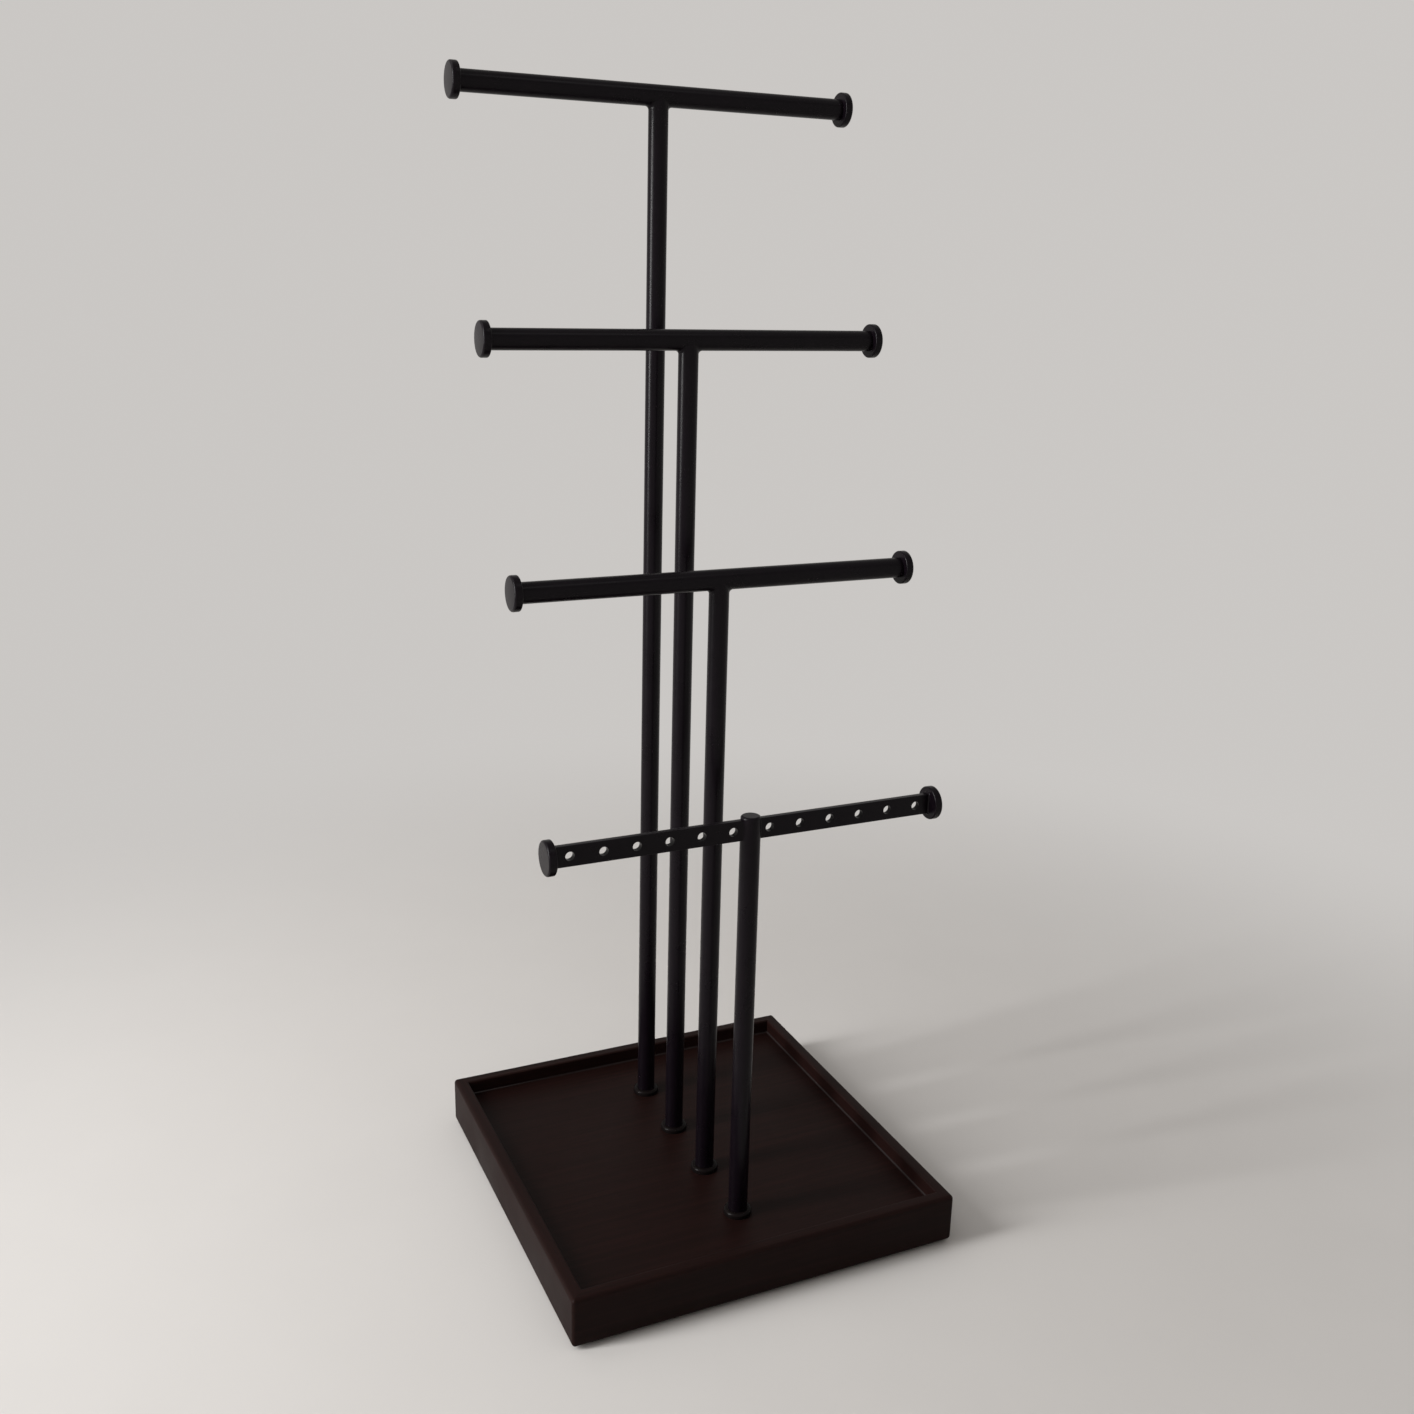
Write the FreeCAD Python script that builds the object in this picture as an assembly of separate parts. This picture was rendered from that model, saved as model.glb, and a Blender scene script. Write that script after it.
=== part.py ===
import FreeCAD, Part
import os

# Jewellery tree: a shallow wooden tray that carries four upright posts in a row.
# Three posts end in a round crossbar, the front one in a flat strip with holes for earrings.
# Lengths are millimetres. +Z is up, X runs along the bars, and Y from the front to the back.
# The origin is on the table, under the middle of the tray.

# Tray
tray_width = 180.0
tray_depth = 180.0
board_thickness = 16.0
rail_height = 23.0
rail_thickness = 6.0
rail_top_round = 1.8
rail_foot_round = 2.5
rail_inner_round = 0.8
corner_land = 0.6
board_edge_round = 0.6
pad_diameter = 14.0
pad_thickness = 1.0
pad_edge_round = 0.3
pad_inset = 16.0

# Posts, and the height of what each one carries, from the table to the middle of the bar or strip
post_names = ("top", "upper", "lower", "earring")
post_diameter = 8.5
post_wall = 1.0
top_bar_height = 486.8
upper_bar_height = 389.5
lower_bar_height = 295.5
strip_middle_height = 199.0
weld_round = 1.8

# Crossbars and their end caps. A bar is a little thicker than its post, so that it covers the post's end
bar_over_post = 0.2
bar_wall = 1.0
bar_length = 179.0
cap_diameter = 14.4
cap_thickness = 3.5
cap_outer_round = 0.9
cap_inner_round = 0.6
spigot_length = 8.0
spigot_chamfer = 0.6

# Earring strip, its caps and the plug over it
strip_length = 177.0
strip_height = 8.8
strip_thickness = 2.8
strip_edge_round = 0.4
hole_diameter = 3.8
hole_pitch = 14.0
hole_middle_gap = 16.5
holes_each_side = 6
socket_depth_share = 0.6
plug_flange = 1.4
plug_flange_round = 1.1
plug_leg_length = 6.0

# Foot of each post: collar, threaded plug, screw and washer
collar_wall = 1.9
collar_height = 2.4
collar_round = 1.3
collar_clearance = 0.1
screw_diameter = 4.0
screw_clearance = 0.5
screw_grip = 9.0
screw_tip_chamfer = 0.5
screw_plug_end = 4.0
tapping_runout = 1.5
head_diameter = 8.0
head_height = 2.6
head_round = 1.1
recess_length = 4.4
recess_width = 1.0
recess_depth = 1.3
washer_diameter = 9.6
washer_thickness = 0.8
washer_clearance = 0.15
counterbore_depth = 6.0
counterbore_clearance = 1.2

# One overrun serves every cut, and one flatness every search for edges
overrun = 1.0
flatness = 0.001

# Values that follow from the sizes above
board_bottom = pad_thickness
floor_height = board_bottom + board_thickness
rim_height = board_bottom + rail_height
corner_radius = max(rail_top_round, rail_foot_round) + corner_land
post_pitch = tray_depth / (len(post_names) + 1)
post_radius = post_diameter / 2
post_bore = post_radius - post_wall
bar_radius = (post_diameter + bar_over_post) / 2
bar_bore = bar_radius - bar_wall
screw_radius = screw_diameter / 2
washer_seat = board_bottom + counterbore_depth
head_seat = washer_seat - washer_thickness
strip_bottom = strip_middle_height - strip_height / 2
strip_top = strip_middle_height + strip_height / 2
socket_depth = cap_thickness * socket_depth_share

along_x = FreeCAD.Vector(1, 0, 0)
along_y = FreeCAD.Vector(0, 1, 0)
up = FreeCAD.Vector(0, 0, 1)


def point(x, y, z):
    return FreeCAD.Vector(x, y, z)


def save(shape, node):
    """Write one piece to its own file, after checking that it is one sound solid."""
    piece = shape.removeSplitter()
    if not piece.isValid() or len(piece.Solids) != 1:
        raise ValueError(node + " is not one sound solid")
    piece.Solids[0].exportStep("parts/" + node + ".step")


def upright(radius, bottom, top, x, y):
    """A cylinder that stands between two heights."""
    return Part.makeCylinder(radius, top - bottom, point(x, y, bottom), up)


def block(low, high):
    """A box between two opposite corners."""
    size = high.sub(low)
    return Part.makeBox(size.x, size.y, size.z, low)


def edges_in_plane(edges, origin, normal):
    """Those edges that lie in the plane through a point."""
    found = []
    for edge in edges:
        first, last = edge.ParameterRange
        middle = edge.valueAt((first + last) / 2)
        spots = [edge.valueAt(first), middle, edge.valueAt(last)]
        if all(abs(spot.sub(origin).dot(normal)) < flatness for spot in spots):
            found.append(edge)
    return found


def rounded(shape, radius, origin, normal):
    """The shape with every edge in one plane rounded."""
    return shape.makeFillet(radius, edges_in_plane(shape.Edges, origin, normal))


def chamfered(shape, size, origin, normal):
    """The shape with every edge in one plane chamfered."""
    return shape.makeChamfer(size, edges_in_plane(shape.Edges, origin, normal))


def post_place(name):
    """How far behind the tray's middle a post stands: the posts divide the depth evenly."""
    return post_pitch * ((len(post_names) - 1) / 2 - post_names.index(name))


# Tray
def tray_board():
    """Floor board inside the rails, drilled and counterbored from beneath for the screws."""
    half_width = tray_width / 2 - rail_thickness
    half_depth = tray_depth / 2 - rail_thickness
    board = block(point(-half_width, -half_depth, board_bottom), point(half_width, half_depth, floor_height))
    board = rounded(board, board_edge_round, point(0, 0, floor_height), up)
    for name in post_names:
        y = post_place(name)
        hole = upright(screw_radius + screw_clearance, board_bottom, floor_height + overrun, 0, y)
        sink_radius = washer_diameter / 2 + counterbore_clearance
        sink = upright(sink_radius, board_bottom - overrun, washer_seat, 0, y)
        board = board.cut(hole.fuse(sink))
    return board


def tray_frame():
    """The four rails as one ring, with soft outer edges and corners."""
    half_width = tray_width / 2
    half_depth = tray_depth / 2
    frame = block(point(-half_width, -half_depth, board_bottom), point(half_width, half_depth, rim_height))
    corners = [edge for edge in frame.Edges if edge.BoundBox.ZLength > rail_height / 2]
    frame = frame.makeFillet(corner_radius, corners)
    frame = rounded(frame, rail_top_round, point(0, 0, rim_height), up)
    frame = rounded(frame, rail_foot_round, point(0, 0, board_bottom), up)
    low = point(rail_thickness - half_width, rail_thickness - half_depth, board_bottom - overrun)
    high = point(half_width - rail_thickness, half_depth - rail_thickness, rim_height + overrun)
    return frame.cut(block(low, high))


def tray_rail(frame, side_x, side_y):
    """One side of the ring, mitred at both ends, with its inner top edge eased."""
    outer_x = tray_width / 2 + overrun
    outer_y = tray_depth / 2 + overrun
    inner_x = tray_width / 2 - rail_thickness - overrun
    inner_y = tray_depth / 2 - rail_thickness - overrun
    if side_x:
        plan = [(outer_x, -outer_y), (outer_x, outer_y), (inner_x, inner_y), (inner_x, -inner_y)]
        inner_face = point(side_x * (tray_width / 2 - rail_thickness), 0, 0)
        inward = along_x
    else:
        plan = [(-outer_x, outer_y), (outer_x, outer_y), (inner_x, inner_y), (-inner_x, inner_y)]
        inner_face = point(0, side_y * (tray_depth / 2 - rail_thickness), 0)
        inward = along_y
    corners = [point(x * (side_x or 1), y * (side_y or 1), 0) for x, y in plan]
    share = Part.Face(Part.makePolygon(corners + corners[:1])).extrude(up * (rim_height + overrun))
    rail = frame.common(share)
    top_edges = edges_in_plane(rail.Edges, point(0, 0, rim_height), up)
    return rail.makeFillet(rail_inner_round, edges_in_plane(top_edges, inner_face, inward))


def foot_pad(side_x, side_y):
    """Thin round pad under one corner of the board."""
    x = side_x * (tray_width / 2 - pad_inset)
    y = side_y * (tray_depth / 2 - pad_inset)
    pad = upright(pad_diameter / 2, 0, pad_thickness, x, y)
    return rounded(pad, pad_edge_round, point(x, y, 0), up)


# Posts
def crossbar_post(y, height):
    """Tube with a saddle cut for the bar and a weld that runs out along the bar's underside."""
    post = upright(post_radius, floor_height, height, 0, y)
    bar = Part.makeCylinder(bar_radius, bar_length, point(-bar_length / 2, y, height), along_x)
    joined = post.fuse(bar).removeSplitter()
    weld_line = [edge for edge in joined.Edges if isinstance(edge.Curve, Part.BSplineCurve)]
    bore = upright(post_bore, floor_height - overrun, height, 0, y)
    return joined.makeFillet(weld_round, weld_line).cut(bar).cut(bore)


def strip_slot(y):
    """The space that the strip takes up in its post, open at the top."""
    low = point(-post_diameter, y - strip_thickness / 2, strip_bottom)
    high = point(post_diameter, y + strip_thickness / 2, strip_top + overrun)
    return block(low, high)


def strip_post(y):
    """Tube that is slotted from the top to take the strip."""
    tube = upright(post_radius, floor_height, strip_top, 0, y)
    bore = upright(post_bore, floor_height - overrun, strip_top + overrun, 0, y)
    return tube.cut(bore).cut(strip_slot(y))


def post_top_plug(y):
    """Lid over the slotted tube, with a leg inside the tube on each side of the strip."""
    legs = upright(post_bore, strip_top - plug_leg_length, strip_top, 0, y).cut(strip_slot(y))
    lid_top = strip_top + plug_flange
    lid = rounded(upright(post_radius, strip_top, lid_top, 0, y), plug_flange_round, point(0, y, lid_top), up)
    return lid.fuse(legs)


# Crossbars, strip and caps
def crossbar(y, height):
    """Round tube that ends against the inner faces of its caps."""
    length = bar_length - 2 * cap_thickness
    start = point(-length / 2, y, height)
    tube = Part.makeCylinder(bar_radius, length, start, along_x)
    return tube.cut(Part.makeCylinder(bar_bore, length, start, along_x))


def cap_disc(side, length, y, height):
    """Disc with softly rounded edges at one end of a bar or strip."""
    outward = along_x * side
    inner_face = point(side * (length / 2 - cap_thickness), y, height)
    outer_face = point(side * length / 2, y, height)
    disc = Part.makeCylinder(cap_diameter / 2, cap_thickness, inner_face, outward)
    disc = rounded(disc, cap_outer_round, outer_face, outward)
    return rounded(disc, cap_inner_round, inner_face, outward)


def bar_cap(side, y, height):
    """End cap with a spigot that is pressed into the crossbar."""
    inward = along_x * -side
    inner_face = point(side * (bar_length / 2 - cap_thickness), y, height)
    spigot = Part.makeCylinder(bar_bore, spigot_length, inner_face, inward)
    spigot = chamfered(spigot, spigot_chamfer, inner_face.add(inward * spigot_length), inward)
    return cap_disc(side, bar_length, y, height).fuse(spigot)


def strip_reach():
    """Half the strip's own length, with the ends that sit in the caps."""
    return strip_length / 2 - cap_thickness + socket_depth


def strip_bar(y):
    """The strip as a plain flat bar."""
    low = point(-strip_reach(), y - strip_thickness / 2, strip_bottom)
    high = point(strip_reach(), y + strip_thickness / 2, strip_top)
    return block(low, high)


def earring_strip(y):
    """Flat bar with eased edges and a row of holes on each side of the post."""
    bar = strip_bar(y)
    long_edges = [edge for edge in bar.Edges if edge.BoundBox.XLength > strip_reach()]
    bar = bar.makeFillet(strip_edge_round, long_edges)
    for side in (-1, 1):
        for number in range(holes_each_side):
            x = side * (hole_middle_gap / 2 + hole_pitch * number)
            start = point(x, y - strip_thickness, strip_middle_height)
            bar = bar.cut(Part.makeCylinder(hole_diameter / 2, 2 * strip_thickness, start, along_y))
    return bar


def strip_cap(side, y):
    """End cap with a socket for the strip's end."""
    return cap_disc(side, strip_length, y, strip_middle_height).cut(strip_bar(y))


# Foot of a post
def collar(y):
    """Rounded ring that hides the joint between a post and the tray."""
    inner = post_radius + collar_clearance
    ring = upright(inner + collar_wall, floor_height, floor_height + collar_height, 0, y)
    ring = rounded(ring, collar_round, point(0, y, floor_height + collar_height), up)
    return ring.cut(upright(inner, floor_height - overrun, floor_height + collar_height + overrun, 0, y))


def screw_plug(y):
    """Threaded plug that fills the foot of the tube."""
    thread_end = floor_height + screw_grip + tapping_runout
    plug = upright(post_bore, floor_height, thread_end + screw_plug_end, 0, y)
    return plug.cut(upright(screw_radius, floor_height - overrun, thread_end, 0, y))


def screw(y):
    """Pan head screw that holds a post from under the tray, with a cross recess."""
    tip = floor_height + screw_grip
    shank = upright(screw_radius, head_seat, tip, 0, y)
    shank = chamfered(shank, screw_tip_chamfer, point(0, y, tip), up)
    head_bottom = head_seat - head_height
    head = upright(head_diameter / 2, head_bottom, head_seat, 0, y)
    head = rounded(head, head_round, point(0, y, head_bottom), up)
    for half_x, half_y in ((recess_length / 2, recess_width / 2), (recess_width / 2, recess_length / 2)):
        low = point(-half_x, y - half_y, head_bottom - overrun)
        high = point(half_x, y + half_y, head_bottom + recess_depth)
        head = head.cut(block(low, high))
    return head.fuse(shank)


def washer(y):
    """Flat washer between the screw's head and the board."""
    disc = upright(washer_diameter / 2, head_seat, washer_seat, 0, y)
    return disc.cut(upright(screw_radius + washer_clearance, head_seat - overrun, washer_seat, 0, y))


# Every piece to its own file
os.makedirs("parts", exist_ok=True)

save(tray_board(), "tray_board")
ring = tray_frame()
for name, side_x, side_y in (("front", 0, -1), ("back", 0, 1), ("left", -1, 0), ("right", 1, 0)):
    save(tray_rail(ring, side_x, side_y), "tray_rail_" + name)
for depth_name, side_y in (("front", -1), ("back", 1)):
    for width_name, side_x in (("left", -1), ("right", 1)):
        save(foot_pad(side_x, side_y), "foot_pad_" + depth_name + "_" + width_name)

bar_heights = {"top": top_bar_height, "upper": upper_bar_height, "lower": lower_bar_height}
for name, height in bar_heights.items():
    y = post_place(name)
    save(crossbar_post(y, height), name + "_post")
    save(crossbar(y, height), name + "_crossbar")
    save(bar_cap(-1, y, height), name + "_end_cap_left")
    save(bar_cap(1, y, height), name + "_end_cap_right")

y = post_place("earring")
save(strip_post(y), "earring_post")
save(earring_strip(y), "earring_strip")
save(strip_cap(-1, y), "earring_end_cap_left")
save(strip_cap(1, y), "earring_end_cap_right")
save(post_top_plug(y), "earring_post_plug")

for name in post_names:
    y = post_place(name)
    save(collar(y), name + "_collar")
    save(screw_plug(y), name + "_screw_plug")
    save(screw(y), name + "_screw")
    save(washer(y), name + "_washer")
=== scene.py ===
"""Jewelry tree: a stained wooden tray, four coated steel posts, three crossbars and a strip for earrings."""

import math

import bmesh
import bpy
from mathutils import Matrix, Quaternion, Vector


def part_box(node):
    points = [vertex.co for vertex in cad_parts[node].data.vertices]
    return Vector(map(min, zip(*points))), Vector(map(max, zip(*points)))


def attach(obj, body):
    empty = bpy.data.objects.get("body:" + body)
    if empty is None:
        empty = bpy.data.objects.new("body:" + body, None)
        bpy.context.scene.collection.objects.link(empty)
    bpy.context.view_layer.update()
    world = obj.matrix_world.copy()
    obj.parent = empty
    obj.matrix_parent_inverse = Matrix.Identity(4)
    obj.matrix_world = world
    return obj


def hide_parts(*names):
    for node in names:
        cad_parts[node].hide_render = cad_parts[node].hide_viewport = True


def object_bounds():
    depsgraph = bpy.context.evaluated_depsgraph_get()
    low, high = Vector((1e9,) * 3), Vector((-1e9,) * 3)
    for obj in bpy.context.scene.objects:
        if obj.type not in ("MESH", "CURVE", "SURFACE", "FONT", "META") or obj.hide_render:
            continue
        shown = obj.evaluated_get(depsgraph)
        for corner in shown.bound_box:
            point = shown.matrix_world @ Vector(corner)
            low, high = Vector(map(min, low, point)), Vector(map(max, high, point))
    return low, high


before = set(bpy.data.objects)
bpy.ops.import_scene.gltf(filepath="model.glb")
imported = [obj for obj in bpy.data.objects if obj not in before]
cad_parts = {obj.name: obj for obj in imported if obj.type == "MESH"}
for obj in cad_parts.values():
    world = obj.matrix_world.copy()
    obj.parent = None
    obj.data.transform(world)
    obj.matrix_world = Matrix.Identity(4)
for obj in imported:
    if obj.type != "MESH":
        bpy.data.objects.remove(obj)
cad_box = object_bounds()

bl_info = {
    "name": "Jewelry tree",
    "version": (1, 0, 0),
    "blender": (4, 5, 0),
    "location": "View3D > Sidebar > Jewelry tree",
    "description": "Makes the tray, posts, crossbars, earring strip, collars and screws of a jewelry tree",
    "category": "Object",
}

MM = 0.001
BAR_TIERS = ("top", "upper", "lower")
TIERS = BAR_TIERS + ("earring",)
SIDES = {"left": -1, "right": 1}
ORIGIN = Vector((0, 0, 0))
UP = Vector((0, 0, 1))
ALONG = Vector((1, 0, 0))
QUARTER_TURN = math.pi / 2
SENSOR_WIDTH = 36.0

# Steps round a turned piece and a rounded edge, beside and over a hole, and round and along a thread
TURN_STEPS = 96
ROUND_STEPS = 8
SIDE_STEPS = 6
FACE_STEPS = 10
THREAD_TURN_STEPS = 36
THREAD_PITCH_STEPS = 6

# Points that are closer are merged, and edges that bend more are left sharp
MERGE_DISTANCE = 0.001 * MM
CREASE_ANGLE = math.radians(32)

# Share of their length that the bars of a recess cutter keep at its deep end
RECESS_TAPER_SHARE = 0.6

# Between these lie nearly all values of a noise
NOISE_SPAN = {"From Min": 0.3, "From Max": 0.7}

# A mix node's colour sockets, by number, because its float and vector sockets share their names
MIX_FACTOR, MIX_A, MIX_B, MIX_RESULT = 0, 6, 7, 2


def linear(code):
    """An sRGB hex value as a linear colour."""
    shares = [int(code[i:i + 2], 16) / 255 for i in (1, 3, 5)]
    return tuple(s / 12.92 if s <= 0.04045 else ((s + 0.055) / 1.055) ** 2.4 for s in shares)


def size_of(node):
    low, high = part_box(node)
    return high - low


def centre_of(node):
    low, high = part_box(node)
    return (low + high) / 2


def foot_of(node):
    """The middle of a node's underside."""
    middle = centre_of(node)
    return Vector((middle.x, middle.y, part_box(node)[0].z))


# Settings that a user would change
def number(name, description, default, **kind):
    return bpy.props.FloatProperty(name=name, description=description, default=default, **kind)


def length(name, description, default):
    return number(name, description, default, min=0, unit="LENGTH", precision=5)


def colour(name, description, code):
    return bpy.props.FloatVectorProperty(name=name, description=description, default=linear(code),
                                         subtype="COLOR", min=0, max=1)


def place(name, description, default):
    return bpy.props.FloatVectorProperty(name=name, description=description, default=default,
                                         subtype="TRANSLATION", unit="LENGTH")


class JewelryTreeSizes(bpy.types.PropertyGroup):
    """Sizes of edges, walls and holes; places and outer sizes come from the frame."""
    rail_thickness: length("Rail thickness", "Width of the tray's rim", size_of("tray_rail_front").y)
    rail_crown: length("Rail crown", "Round of the rim's outer top edge", 1.8 * MM)
    rail_foot: length("Rail foot", "Round of the rails' lower edge", 2.5 * MM)
    rail_inner: length("Rail inner edge", "Round of the rim's inner top edge", 0.8 * MM)
    tray_corner: length("Tray corner", "Round of the tray's upright corners", 1.6 * MM)
    lacquer_round: length("Lacquer bead", "Hollow round of the lacquer in the tray's inner corner", 0.7 * MM)
    pad_round: length("Pad round", "Round of a foot pad's lower edge", 0.3 * MM)
    tube_wall: length("Tube wall", "Wall of the posts and crossbars", 1.0 * MM)
    tube_deburr: length("Tube deburring", "Chamfer at the crossbars' ends", 0.15 * MM)
    weld_round: length("Weld round", "Radius of the weld between a post and its crossbar", 1.8 * MM)
    strip_weld: length("Strip weld", "Radius of the small welds on the earring strip", 0.7 * MM)
    cap_thickness: length("Cap thickness", "Thickness of the end caps", size_of("earring_end_cap_left").x)
    cap_outer_round: length("Cap outer round", "Round of a cap's outer edge", 0.9 * MM)
    cap_inner_round: length("Cap inner round", "Round of a cap's edge towards its bar", 0.6 * MM)
    spigot_chamfer: length("Spigot chamfer", "Lead-in of the spigot that is pressed into a bar", 0.6 * MM)
    hole_diameter: length("Hole diameter", "Width of the holes for earrings", 3.8 * MM)
    hole_pitch: length("Hole pitch", "Spacing of the holes on each side of the post", 14.0 * MM)
    hole_gap: length("Middle gap", "Distance between the two holes beside the post", 16.5 * MM)
    hole_ease: length("Hole ease", "Round that the coating leaves at a hole's rim", 0.12 * MM)
    strip_edge: length("Strip edge", "Round of the strip's long edges", 0.4 * MM)
    collar_round: length("Collar round", "Round of a collar's top edge", 1.3 * MM)
    collar_wall: length("Collar wall", "Width of a collar's ring", 1.9 * MM)
    collar_gap: length("Collar gap", "Clearance between a collar and its post", 0.1 * MM)
    thread_pitch: length("Thread pitch", "Pitch of the screws", 0.7 * MM)
    thread_depth: length("Thread depth", "Depth of the screws' thread", 0.4 * MM)
    shank_radius: length("Shank radius", "Half the outer diameter of the screws' thread", 2.0 * MM)
    head_height: length("Head height", "Height of a screw's pan head", 2.6 * MM)
    head_round: length("Head round", "Round of a screw's head", 1.1 * MM)
    recess_length: length("Recess length", "Length of the recess cutter's bars at its wide end", 4.4 * MM)
    recess_width: length("Recess width", "Width of the cross recess's bars", 1.0 * MM)
    recess_depth: length("Recess depth", "Depth of the cross recess", 1.3 * MM)
    washer_bore: length("Washer bore", "Half the width of a washer's hole", 2.15 * MM)
    washer_round: length("Washer round", "Round that stamping leaves on a washer's edge", 0.15 * MM)
    holes_each_side: bpy.props.IntProperty(name="Holes each side", default=6, min=1,
                                           description="Number of holes on each side of the post")


class JewelryTreeColours(bpy.types.PropertyGroup):
    """Base colours of the finishes."""
    powder_coat: colour("Powder coat", "Black powder on the steel pieces", "#0d080d")
    stain: colour("Stain", "Dark brown stain of the tray", "#160a08")
    stain_light: colour("Light grain", "Grain that takes less stain", "#1f0f0d")
    collar: colour("Collar", "Black plastic of the collars", "#110d0d")
    zinc: colour("Zinc", "Plating of the screws and washers", "#b7babd")
    foam: colour("Foam", "Closed-cell foam of the foot pads", "#26262a")
    backdrop: colour("Backdrop", "Floor and backdrop", "#cfccc9")


class JewelryTreeStage(bpy.types.PropertyGroup):
    """Camera, lamps and backdrop."""
    camera_place: place("Camera", "Where the camera stands", (-0.2491, -0.5470, 0.4139))
    camera_aim: place("Aim", "The point that the camera looks at", (0.0300, 0.0560, 0.2171))
    camera_roll: number("Roll", "Turn of the camera about its own axis", math.radians(1.39), subtype="ANGLE")
    camera_lens: number("Lens", "Focal length on a 36 mm wide sensor", 36.77, unit="CAMERA")
    key_place: place("Key lamp", "Tall narrow lamp on the left", (-1.20, 0.05, 0.62))
    fill_place: place("Fill lamp", "Small weak lamp high up at the front", (0.38, -0.60, 1.50))
    top_place: place("Top lamp", "Wide lamp over the tray, on the left", (-0.70, 0.20, 1.50))
    key_power: number("Key power", "Power of the key lamp", 22.0, min=0, unit="POWER")
    fill_power: number("Fill power", "Power of the fill lamp", 0.4, min=0, unit="POWER")
    top_power: number("Top power", "Power of the top lamp", 4.0, min=0, unit="POWER")
    key_width: length("Key width", "Width of the key lamp", 0.25)
    key_height: length("Key height", "Height of the key lamp", 1.05)
    fill_width: length("Fill width", "Width of the fill lamp", 0.25)
    top_width: length("Top width", "Width of the top lamp", 1.2)
    sky_strength: number("Sky", "Strength of the even light from all round", 0.62, min=0)
    lit_radius: length("Lit radius", "Floor that is seen as the lamps light it", 0.20)
    even_radius: length("Even radius", "Where the even backdrop starts", 0.70)
    backdrop_level: number("Backdrop level", "How light the even backdrop is seen", 0.95, min=0, max=1)
    floor_radius: length("Floor radius", "Where the floor starts to curve up into the backdrop", 1.9)
    cove_radius: length("Cove radius", "Radius of the curve between floor and backdrop", 0.6)
    backdrop_height: length("Backdrop height", "Height of the backdrop's upper edge", 1.7)


# Nodes and materials
def add_node(tree, kind, inputs=(), **settings):
    """Add a node, set its own settings, and give its inputs values or links from other sockets."""
    made = tree.nodes.new(kind)
    for key, value in settings.items():
        setattr(made, key, value)
    for key, value in dict(inputs).items():
        if isinstance(value, bpy.types.NodeSocket):
            tree.links.new(value, made.inputs[key])
        elif isinstance(value, list):
            for socket in value:
                tree.links.new(socket, made.inputs[key])
        else:
            made.inputs[key].default_value = value
    return made


def per_size(millimetres):
    """The scale at which a noise has features of this size, on coordinates in metres."""
    return 1 / (millimetres * MM)


def opaque(shade, gain=1.0):
    """A colour with full alpha, made lighter or darker by a gain."""
    return (*[min(channel * gain, 1.0) for channel in shade], 1.0)


def made_once(describe):
    """Wrap a function that describes a finish, so that its material is named for it and made once."""
    def material_of(*variant):
        name = "_".join((describe.__name__, *variant))
        if name in bpy.data.materials:
            return bpy.data.materials[name]
        material = bpy.data.materials.new(name)
        material.use_nodes = True
        tree = material.node_tree
        tree.nodes.clear()
        shader = add_node(tree, "ShaderNodeBsdfPrincipled")
        add_node(tree, "ShaderNodeOutputMaterial", {"Surface": shader.outputs["BSDF"]})
        spots = add_node(tree, "ShaderNodeTexCoord").outputs["Object"]
        describe(tree, shader, spots, bpy.context.scene.jewelry_tree_colours, *variant)
        return material
    return material_of


def dress(tree, shader, tint, gloss, relief):
    """Give a shader its colour, its roughness and its relief."""
    tree.links.new(tint.outputs[MIX_RESULT], shader.inputs["Base Color"])
    tree.links.new(gloss.outputs["Result"], shader.inputs["Roughness"])
    tree.links.new(relief.outputs["Normal"], shader.inputs["Normal"])


@made_once
def powder_coated_steel(tree, shader, spots, colours):
    """Satin black polyester powder, sprayed on steel and baked.

    The eye gets a narrow satin highlight, a faint orange peel in it and faint clouds in the gloss.
    """
    shade = colours.powder_coat
    cloud = add_node(tree, "ShaderNodeTexNoise", {"Vector": spots, "Scale": per_size(11), "Detail": 3.0})
    # Real orange peel is near 0.4 mm; it is drawn at twice that so that it shows
    peel = add_node(tree, "ShaderNodeTexNoise", {"Vector": spots, "Scale": per_size(0.8), "Detail": 2.0})
    tint = add_node(tree, "ShaderNodeMix", {
        MIX_FACTOR: cloud.outputs["Fac"], MIX_A: opaque(shade, 0.8), MIX_B: opaque(shade, 1.3),
    }, data_type="RGBA")
    gloss = add_node(tree, "ShaderNodeMapRange", {
        "Value": cloud.outputs["Fac"], **NOISE_SPAN, "To Min": 0.26, "To Max": 0.32})
    bump = add_node(tree, "ShaderNodeBump", {
        "Height": peel.outputs["Fac"], "Strength": 0.08, "Distance": 0.06 * MM})
    dress(tree, shader, tint, gloss, bump)
    shader.inputs["Specular IOR Level"].default_value = 0.12


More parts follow.
